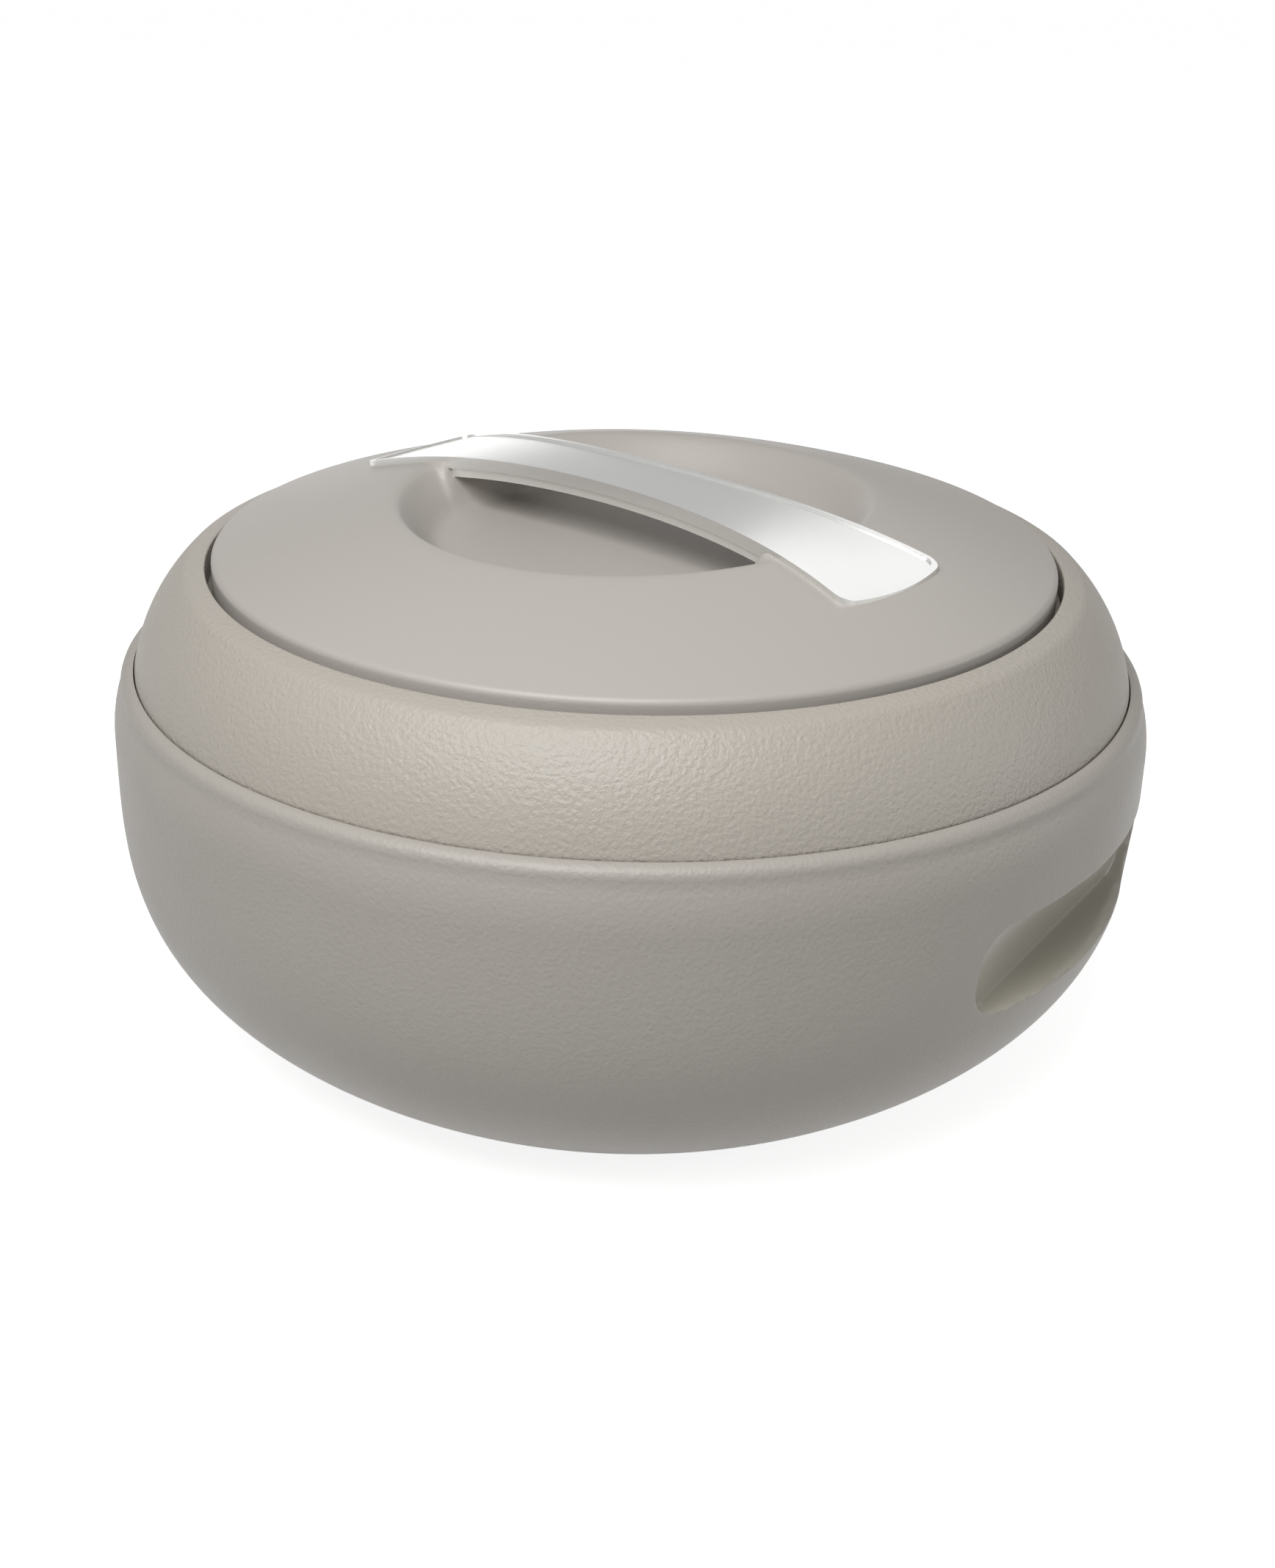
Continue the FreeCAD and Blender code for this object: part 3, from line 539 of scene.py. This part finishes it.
    def upper_side(self) -> np.ndarray:
        """Draw the outline from the seam over the lip to the belly.

        Returns:
            Radius and height of each point, without the belly itself.
        """
        belly = (self.belly_radius, self.belly_level)
        lip = (self.lip_radius, self.lip_level)
        rim = (self.seam_radius + self.seam_land, self.seam_level)
        return np.concatenate([
            np.array([(self.seam_radius, self.seam_level), rim]),
            bulged_side(rim, lip, self.seam_bulge, self.seam_steps),
            np.array([lip]),
            bulged_side(lip, belly, self.lip_bulge, self.lip_steps),
        ])

    def outer_side(self) -> np.ndarray:
        """Draw the outline from the belly down to the base.

        Returns:
            Radius and height of each point, closest beside the grips.
        """
        top, bottom = self.flank_grips
        above, beside, below = self.flank_steps
        part = np.concatenate([
            np.linspace(1, top, above)[:-1], np.linspace(top, bottom, beside), np.linspace(bottom, 0, below)[1:],
        ])
        return self.flank(part, 0.0)

    def ledge(self) -> np.ndarray:
        """Draw the ledge that the shoulder ring stands on.

        Returns:
            Radius and height of each point, from the wall's inner side up to the seam.
        """
        under = self.ledge_level - 2 * self.wall
        return np.array([
            (self.lip_radius - self.wall, under), (self.ledge_radius + self.wall, under),
            (self.ledge_radius, under + self.wall), (self.ledge_radius, self.ledge_level),
            (self.seam_radius, self.ledge_level),
        ])

    def build(self, material: bpy.types.Material, grip_material: bpy.types.Material) -> None:
        """Build the shell and let it stand for its CAD node.

        Args:
            material: The shell's finish.
            grip_material: The finish of the grips' walls, glossier than the shell and painted paler as painted light
                in the grips' shade.
        """
        angle = self.angles()
        upper, outer = self.upper_side(), self.outer_side()
        port = np.array([(self.port_radius, self.base_level), (self.port_radius, self.base_level + self.wall)])
        inner = self.flank(np.linspace(self.inner_start, 1, self.inner_steps), self.wall)
        pressed = self.press(outer, angle, 0.0)
        rings = np.concatenate([
            turn_outline(upper, angle), pressed, turn_outline(port, angle),
            self.press(inner, angle, self.wall), turn_outline(self.ledge(), angle),
        ])
        mesh = skin_rings("outer_shell_skin", rings)
        mesh.materials.append(material)
        mesh.materials.append(grip_material)
        # Faces pressed in past a set depth are the grips' walls: they get the glossier finish, painted paler as
        # painted light in the grips' shade
        depth = np.zeros(rings.shape[:2])
        depth[len(upper):len(upper) + len(outer)] = outer[:, :1] - np.hypot(pressed[..., 0], pressed[..., 1])
        glossy_painted_light_faces = (depth > self.gloss_and_painted_light_depth).astype(np.int32)
        mesh.polygons.foreach_set("material_index", glossy_painted_light_faces.ravel())
        put("outer_shell_skin", mesh, Body.CASSEROLE, "outer_shell")


@dataclass
class ShoulderRing:
    """The ring from the seam over the shoulder to the lid's seat, in millimetres.

    Attributes:
        radius: Outer radius at the seam.
        foot_level: Height of the lower edge.
        seam_level: Height where the shoulder starts.
        land_radius: Outer radius of the land round the lid.
        land_level: Its height.
        land_round: Rounding between the shoulder and the land.
        mouth_radius: Radius of the opening for the lid.
        mouth_level: Height of its edge.
        mouth_round: Rounding of that edge.
        seat_level: Height of the bowl's seat.
        neck_radius: Inner radius.
        neck_level: Height of the neck's lower edge.
        bulge: How far the shoulder bulges out.
        wall: Thickness.
        foot_round: Rounding where the shoulder starts.
        outer_steps: Points on the shoulder's outer side.
        inner_steps: Points on its inner side.
        places: Points round each ring.
    """

    radius: float = 138.6
    foot_level: float = 101.0
    seam_level: float = 108.8
    land_radius: float = 124.1
    land_level: float = 134.7
    land_round: float = 2.5
    mouth_radius: float = 118.2
    mouth_level: float = 136.2
    mouth_round: float = 0.8
    seat_level: float = 128.0
    neck_radius: float = 107.7
    neck_level: float = 120.5
    bulge: float = 2.4
    wall: float = 2.4
    foot_round: float = 0.4
    outer_steps: int = 16
    inner_steps: int = 8
    places: int = 360

    def build(self, material: bpy.types.Material) -> None:
        """Build the ring and let it stand for its CAD node.

        Args:
            material: The ring's finish.
        """
        angle = np.linspace(0, 2 * math.pi, self.places, endpoint=False)
        mesh = skin_rings("shoulder_ring_skin", turn_outline(round_corners(self.corners()), angle))
        mesh.materials.append(material)
        put("shoulder_ring_skin", mesh, Body.CASSEROLE, "shoulder_ring")

    def corners(self) -> list[tuple[float, float, float]]:
        """List the corners of the ring's section.

        Returns:
            Radius, height and rounding of each, from the mouth outwards over the shoulder and back inside.
        """
        wall = self.wall
        land = (self.land_radius, self.land_level)
        foot = (self.radius, self.seam_level)
        inner_foot = (self.radius - wall, self.seam_level - wall)
        inner_land = (self.land_radius - wall / 4, self.land_level - wall)
        outside = bulged_side(land, foot, self.bulge, self.outer_steps).tolist()
        inside = bulged_side(inner_foot, inner_land, -self.bulge, self.inner_steps).tolist()
        return [
            (self.mouth_radius, self.mouth_level, self.mouth_round),
            (*land, self.land_round / 2),
            *[(*point, 0.0) for point in outside],
            (*foot, self.foot_round),
            (self.radius, self.foot_level, 0.0),
            (self.radius - wall, self.foot_level, 0.0),
            (*inner_foot, 0.0),
            *[(*point, 0.0) for point in inside],
            (*inner_land, 0.0),
            (self.mouth_radius + wall, self.land_level - wall, 0.0),
            (self.mouth_radius + wall, self.seat_level - wall, 0.0),
            (self.neck_radius + wall, self.seat_level - wall, 0.0),
            (self.neck_radius + wall, self.neck_level, 0.0),
            (self.neck_radius, self.neck_level, 0.0),
            (self.neck_radius, self.seat_level, 0.0),
            (self.mouth_radius, self.seat_level, 0.0),
        ]


@dataclass
class LidCover:
    """The moulded cover of the lid: a dome with a finger dish, two lands for the strap and a rounded edge.

    All sizes are in millimetres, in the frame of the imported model.

    Attributes:
        turn: Turn of the lid about the axis, in degrees.
        radius: Outer radius.
        edge_round: Radius of the rounded outer edge.
        edge_level: Height of the dome at its edge.
        dome_rise: Height of the dome's crown over its edge.
        dome_power: How late the dome falls towards its edge.
        skirt_level: Height of the skirt's lower edge.
        wall: Thickness.
        dish_reach: Half the dish's opening along the strap.
        dish_reach_across: Half the dish's opening across the strap.
        dish_side: How far the dish's wall leans in.
        dish_depth: Height over which it leans in so far.
        dish_floor: Height of the dish's floor.
        dish_foot_softness: Rounding between the floor and the wall.
        dish_rim_softness: Rounding where the dish opens through the dome.
        land_half_width: Half the width of a land.
        land_reach: Distance of a land's inner wall from the middle, at the foot.
        land_side: How far that wall leans back over the dish's depth.
        land_flank: Steepness of a land's two flanks.
        places: Points round each ring.
        top_rings: Rings from the middle to the edge.
        edge_rings: Rings over the rounded edge, counting the one that it starts from.
        under_rings: Rings of the underside.
    """

    turn: float = -9.0
    radius: float = 116.5
    edge_round: float = 2.0
    edge_level: float = 138.7
    dome_rise: float = 23.0
    dome_power: float = 1.7
    skirt_level: float = 129.4
    wall: float = 2.4
    dish_reach: float = 63.5
    dish_reach_across: float = 70.0
    dish_side: float = 10.5
    dish_depth: float = 13.3
    dish_floor: float = 140.6
    dish_foot_softness: float = 3.2
    dish_rim_softness: float = 2.2
    land_half_width: float = 21.0
    land_reach: float = 51.0
    land_side: float = 6.5
    land_flank: float = 5.0
    places: int = 440
    top_rings: int = 170
    edge_rings: int = 8
    under_rings: int = 36

    def dome(self, radius: np.ndarray) -> np.ndarray:
        """Height of the dome.

        Args:
            radius: Distances from the axis.

        Returns:
            The edge height and a rise that falls off as a power of the radius.
        """
        return self.edge_level + self.dome_rise * (1 - (radius / self.radius) ** self.dome_power)

    def dish(self, along: np.ndarray, across: np.ndarray) -> np.ndarray:
        """Height of the dish and of the lands that stand in it.

        Args:
            along: Places along the strap.
            across: Places across the strap.

        Returns:
            The floor, the wall that leans out from its foot as a straight line over an oval radius, and
            the lands: each a wall that leans back from its foot, between two steep flanks.
        """
        oval = np.hypot(along, across * self.dish_reach / self.dish_reach_across)
        floor = np.full_like(oval, self.dish_floor)
        wall = self.dish_floor + (oval - self.dish_reach + self.dish_side) * self.dish_depth / self.dish_side
        front = self.dish_floor + (np.abs(along) - self.land_reach) * self.dish_depth / self.land_side
        flank = self.dish_floor + (self.land_half_width - np.abs(across)) * self.land_flank
        land = soft_lower(front, flank, self.dish_rim_softness)
        return soft_upper(soft_upper(floor, wall, self.dish_foot_softness), land, self.dish_rim_softness)

    def height(self, radius: np.ndarray, angle: np.ndarray) -> np.ndarray:
        """Height of the cover's top.

        Args:
            radius: Distances from the axis.
            angle: Angles from the strap's line, in radians.

        Returns:
            The lower of the dome and the dish, with a soft rim.
        """
        dish = self.dish(radius * np.cos(angle), radius * np.sin(angle))
        return soft_lower(self.dome(radius), dish, self.dish_rim_softness)

    def build(self, material: bpy.types.Material) -> None:
        """Build the cover and let it stand for its CAD node.

        Args:
            material: The cover's finish.
        """
        angle = np.linspace(0, 2 * math.pi, self.places, endpoint=False)
        turned = angle + math.radians(self.turn)
        lean = math.atan(self.dome_rise * self.dome_power / self.radius)
        flat = self.radius - self.edge_round * (1 - math.sin(lean))
        top_radius = np.linspace(0, flat, self.top_rings + 1)[1:, None]
        top = place_rings(top_radius, self.height(top_radius, angle), turned)
        swing = np.linspace(lean, math.pi / 2, self.edge_rings)[1:, None]
        edge_middle = float(self.dome(np.array(flat))) - self.edge_round * math.cos(lean)
        edge_radius = self.radius - self.edge_round + self.edge_round * np.sin(swing)
        edge = place_rings(edge_radius, edge_middle + self.edge_round * np.cos(swing), turned)
        inner = self.radius - self.wall
        skirt_radius = np.array([self.radius, inner, inner])[:, None]
        skirt_height = np.array([self.skirt_level, self.skirt_level, edge_middle - self.wall])[:, None]
        skirt = place_rings(skirt_radius, skirt_height, turned)
        under_radius = np.linspace(flat - self.wall, 0, self.under_rings + 1)[:-1, None]
        under = place_rings(under_radius, self.height(under_radius, angle) - self.wall, turned)
        middle = np.array([0.0, 0.0, self.dish_floor])
        rings = np.concatenate([top, edge, skirt, under])
        mesh = skin_rings("lid_cover_skin", rings, (middle, middle - [0, 0, self.wall]))
        mesh.materials.append(material)
        put("lid_cover_skin", mesh, Body.LID, "lid_cover")


@dataclass(frozen=True)
class Dressing:
    """A CAD node and the finish it gets.

    Attributes:
        node: Name of the CAD node.
        finish: Its finish.
    """

    node: str
    finish: Finish


@dataclass
class SubAssembly:
    """A group of nodes that ride on one body.

    Attributes:
        body: The body that carries the nodes.
        dressings: Each node with its finish.
    """

    body: Body
    dressings: tuple[Dressing, ...]

    def dress(self, materials: dict[str, bpy.types.Material]) -> None:
        """Give each node its material.

        Args:
            materials: The materials made so far, by name. Missing ones are added.
        """
        for dressing in self.dressings:
            finish = dressing.finish
            if finish.name not in materials:
                materials[finish.name] = finish.make()
            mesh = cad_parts[dressing.node].data
            mesh.materials.clear()
            mesh.materials.append(materials[finish.name])
            LOG.info("%s: %s rides on %s", dressing.node, finish.name, self.body.value)


CASSEROLE = SubAssembly(Body.CASSEROLE, (
    Dressing("outer_shell", SHELL),
    Dressing("shoulder_ring", RING),
    Dressing("inner_bowl", STEEL),
    Dressing("body_foam", FOAM),
    Dressing("base_plug", INNER),
    Dressing("foot_front_right", FEET),
    Dressing("foot_rear_right", FEET),
    Dressing("foot_rear_left", FEET),
    Dressing("foot_front_left", FEET),
))
LID_ASSEMBLY = SubAssembly(Body.LID, (
    Dressing("lid_cover", LID),
    Dressing("lid_liner", STEEL),
    Dressing("lid_base_ring", INNER),
    Dressing("lid_seal", SILICONE),
    Dressing("lid_foam", FOAM),
    Dressing("handle_strap", STRAP),
    Dressing("handle_under_grip", UNDER),
    Dressing("handle_screws", ZINC),
))


@dataclass(frozen=True)
class PhotoCamera:
    """The camera that took the photograph.

    Attributes:
        azimuth: Side that it stands on, in degrees from -Y towards +X.
        distance: Level distance from the axis, in metres.
        height: Height above the floor, in metres.
        swing: Turn of the view away from the axis, in degrees to the right.
        pitch: Tilt below the horizon, in degrees.
        roll: Turn about the line of sight, in degrees.
        lens: Focal length in millimetres for a 36 mm long side.
        clip_start: Distance from which things are seen, in metres.
    """

    azimuth: float = 31.5
    distance: float = 0.591
    height: float = 0.3318
    swing: float = 0.22
    pitch: float = 24.28
    roll: float = 1.44
    lens: float = 50.92
    clip_start: float = 0.01

    def place(self) -> bpy.types.Object:
        """Put the camera in the scene.

        Returns:
            The camera object, which is also the scene's camera.
        """
        data = bpy.data.cameras.new("photo_camera")
        data.lens = self.lens
        data.clip_start = self.clip_start
        camera = bpy.data.objects.new("photo_camera", data)
        side = math.radians(self.azimuth)
        spot = Vector((self.distance * math.sin(side), -self.distance * math.cos(side), self.height))
        heading = Matrix.Rotation(math.radians(self.azimuth - self.swing), 4, "Z")
        tilt = Matrix.Rotation(math.radians(90 - self.pitch), 4, "X")
        roll = Matrix.Rotation(math.radians(self.roll), 4, "Z")
        camera.matrix_world = Matrix.Translation(spot) @ heading @ tilt @ roll
        bpy.context.scene.collection.objects.link(camera)
        bpy.context.scene.camera = camera
        return camera


@dataclass(frozen=True)
class Softbox:
    """A large soft light that faces the casserole.

    Attributes:
        name: Name of the light.
        azimuth: Side that it stands on, in degrees to the right of the camera's side.
        elevation: Height over the horizon, in degrees.
        distance: Distance from the middle of the casserole, in metres.
        width: Width in metres.
        depth: Depth in metres.
        power: Power in watts.
    """

    name: str
    azimuth: float
    elevation: float
    distance: float
    width: float
    depth: float
    power: float

    def place(self, target: Vector, camera_azimuth: float) -> bpy.types.Object:
        """Put the light in the scene, facing the target.

        Args:
            target: The point that it faces.
            camera_azimuth: Side that the camera stands on, in degrees from -Y towards +X.

        Returns:
            The light object.
        """
        data = bpy.data.lights.new(self.name, "AREA")
        data.shape = "RECTANGLE"
        data.size = self.width
        data.size_y = self.depth
        data.energy = self.power
        light = bpy.data.objects.new(self.name, data)
        side = math.radians(camera_azimuth + self.azimuth)
        rise = math.radians(self.elevation)
        away = Vector((math.sin(side) * math.cos(rise), -math.cos(side) * math.cos(rise), math.sin(rise)))
        turn = away.to_track_quat("Z", "Y").to_matrix().to_4x4()
        light.matrix_world = Matrix.Translation(target + away * self.distance) @ turn
        light.visible_camera = False
        bpy.context.scene.collection.objects.link(light)
        return light


LIGHTS = (
    # The key light is near, so the lid is brightest in front and falls off towards its back
    Softbox("front_left", azimuth=-20, elevation=54, distance=0.75, width=0.5, depth=0.5, power=5.5),
    # The next two are mirrored by the strap's near and far end
    Softbox("back_right", azimuth=157, elevation=38, distance=1.1, width=0.45, depth=0.3, power=0.34),
    Softbox("back_low", azimuth=190, elevation=6, distance=1.1, width=0.7, depth=0.24, power=0.46),
    # The last one reaches into the right grip
    Softbox("right_low", azimuth=85, elevation=9, distance=0.9, width=0.5, depth=0.2, power=0.9),
)


@dataclass(frozen=True)
class Studio:
    """Floor, surroundings and lights.

    Attributes:
        lights: The softboxes.
        floor_half: Half the floor's side, in metres.
        floor: The floor's finish.
        floor_lift: How much brighter the camera sees the floor than it lights the object.
        surround: Brightness of the surroundings, as they light the object.
        reflected: Brightness of the surroundings, as they are mirrored.
        backdrop: Brightness of the surroundings, as the camera sees them.
    """

    lights: tuple[Softbox, ...] = LIGHTS
    floor_half: float = 6.0
    floor: Finish = PAPER
    floor_lift: float = 0.85
    surround: float = 0.25
    reflected: float = 0.45
    backdrop: float = 1.0

    def build(self, camera_azimuth: float) -> None:
        """Build the floor, the surroundings and the lights.

        Args:
            camera_azimuth: Side that the camera stands on, which the lights are placed from.
        """
        self.lay_floor()
        self.surround_with_light()
        low, high = CAD_BOUNDS
        middle = (low + high) / 2
        for light in self.lights:
            light.place(middle, camera_azimuth)
            LOG.info("light %s placed", light.name)

    def lay_floor(self) -> None:
        """Lay a plain pale floor that keeps the object's shadow."""
        half = self.floor_half
        mesh = bpy.data.meshes.new("floor")
        mesh.from_pydata([(-half, -half, 0), (half, -half, 0), (half, half, 0), (-half, half, 0)], [], [(0, 1, 2, 3)])
        floor = bpy.data.objects.new("floor", mesh)
        paper = self.floor.make()
        self.whiten(paper)
        mesh.materials.append(paper)
        bpy.context.scene.collection.objects.link(floor)

    def whiten(self, paper: bpy.types.Material) -> None:
        """Lift the floor to white as the camera and mirrors see it, with no more light on the object.

        Args:
            paper: The floor's material.
        """
        tree = paper.node_tree
        path = add_node(tree, "ShaderNodeLightPath")
        seen = add_node(tree, "ShaderNodeMath", {"operation": "MAXIMUM"})
        tree.links.new(path.outputs["Is Camera Ray"], seen.inputs[0])
        tree.links.new(path.outputs["Is Glossy Ray"], seen.inputs[1])
        lift = add_node(tree, "ShaderNodeMath", {"operation": "MULTIPLY"})
        tree.links.new(seen.outputs["Value"], lift.inputs[0])
        lift.inputs[1].default_value = self.floor_lift
        shader = tree.nodes["Principled BSDF"]
        shader.inputs["Emission Color"].default_value = linear(WHITE)
        tree.links.new(lift.outputs["Value"], shader.inputs["Emission Strength"])

    def surround_with_light(self) -> None:
        """Give the object soft grey surroundings, and the camera a white backdrop."""
        world = bpy.data.worlds.new("studio")
        world.use_nodes = True
        tree = world.node_tree
        tree.nodes.clear()
        path = add_node(tree, "ShaderNodeLightPath")
        mirrored = add_node(
            tree, "ShaderNodeMapRange", {"To Min": self.surround, "To Max": self.reflected},
            {"Value": path.outputs["Is Glossy Ray"]},
        )
        strength = add_node(
            tree, "ShaderNodeMapRange", {"To Max": self.backdrop},
            {"Value": path.outputs["Is Camera Ray"], "To Min": mirrored.outputs["Result"]},
        )
        sky = add_node(
            tree, "ShaderNodeBackground", {"Color": linear(WHITE)}, {"Strength": strength.outputs["Result"]},
        )
        add_node(tree, "ShaderNodeOutputWorld", links={"Surface": sky.outputs["Background"]})
        bpy.context.scene.world = world


def main() -> None:
    """Dress the casserole and set up the studio, in order."""
    logging.basicConfig(level=logging.INFO, format="%(message)s")
    bpy.context.scene.view_settings.view_transform = "Standard"
    materials: dict[str, bpy.types.Material] = {}
    CASSEROLE.dress(materials)
    LID_ASSEMBLY.dress(materials)
    OuterShell().build(materials[SHELL.name], GRIP_WALL.make())
    ShoulderRing().build(materials[RING.name])
    LidCover().build(materials[LID.name])
    camera = PhotoCamera()
    camera.place()
    Studio().build(camera.azimuth)


if __name__ == "__main__":
    main()
